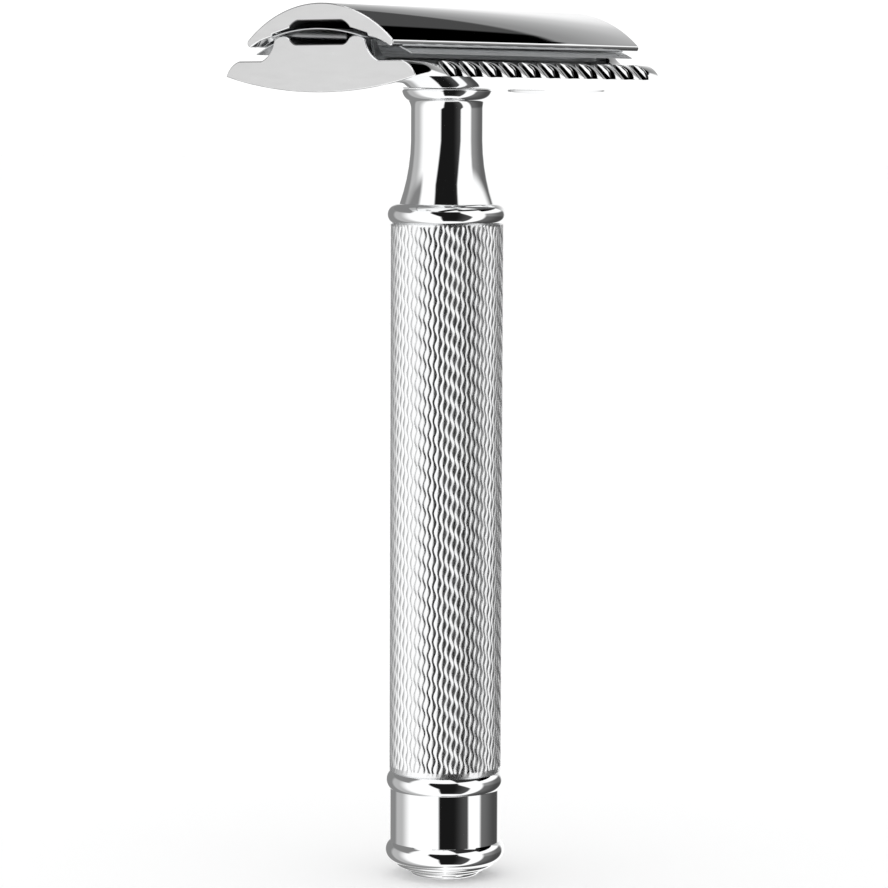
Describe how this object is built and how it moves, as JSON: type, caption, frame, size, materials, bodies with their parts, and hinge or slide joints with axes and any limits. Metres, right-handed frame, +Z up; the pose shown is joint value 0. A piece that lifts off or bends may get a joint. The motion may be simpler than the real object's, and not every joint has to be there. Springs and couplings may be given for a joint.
{
  "type": "safety razor",
  "caption": "Three-piece double-edge safety razor with a closed, scalloped guard bar, an engraved tubular handle and a beaded knob, with a blade fitted.",
  "frame": {"origin": "centre of the flat foot of the knob, at the bottom of the handle", "axes": "+Z up the handle to the cap, +X along the blade's edges, +Y across the head"},
  "size_m": [0.0428, 0.026, 0.094],
  "materials": {
    "head_chrome": "polished chrome plate",
    "handle_chrome": "polished chrome plate on an engraved tube",
    "stud_steel": "turned and plated steel",
    "blade_steel": "ground stainless steel"
  },
  "bodies": {
    "handle": {"neck": "handle_chrome", "grip_tube": "handle_chrome", "end_cap": "handle_chrome"},
    "plate": {"base_plate": "head_chrome"},
    "cap": {"top_cap": "head_chrome", "threaded_stud": "stud_steel", "locating_pin_left": "stud_steel", "locating_pin_right": "stud_steel"},
    "blade": {"blade": "blade_steel"}
  },
  "joints": [
    {"name": "head_turn", "type": "hinge", "parent": "handle", "child": "plate", "pos_m": [0, 0, 0.085], "axis": [0, 0, 1], "range_deg": [0, 3600]},
    {"name": "cap_lift", "type": "slide", "parent": "plate", "child": "cap", "axis": [0, 0, 1], "range_m": [0, 0.008]},
    {"name": "blade_lift", "type": "slide", "parent": "plate", "child": "blade", "axis": [0, 0, 1], "range_m": [0, 0.004]}
  ],
  "couplings": [
    {"joint": "cap_lift", "follows": "head_turn", "m_per_rad": 0.00012732},
    {"joint": "blade_lift", "follows": "head_turn", "m_per_rad": 0.000063661}
  ]
}
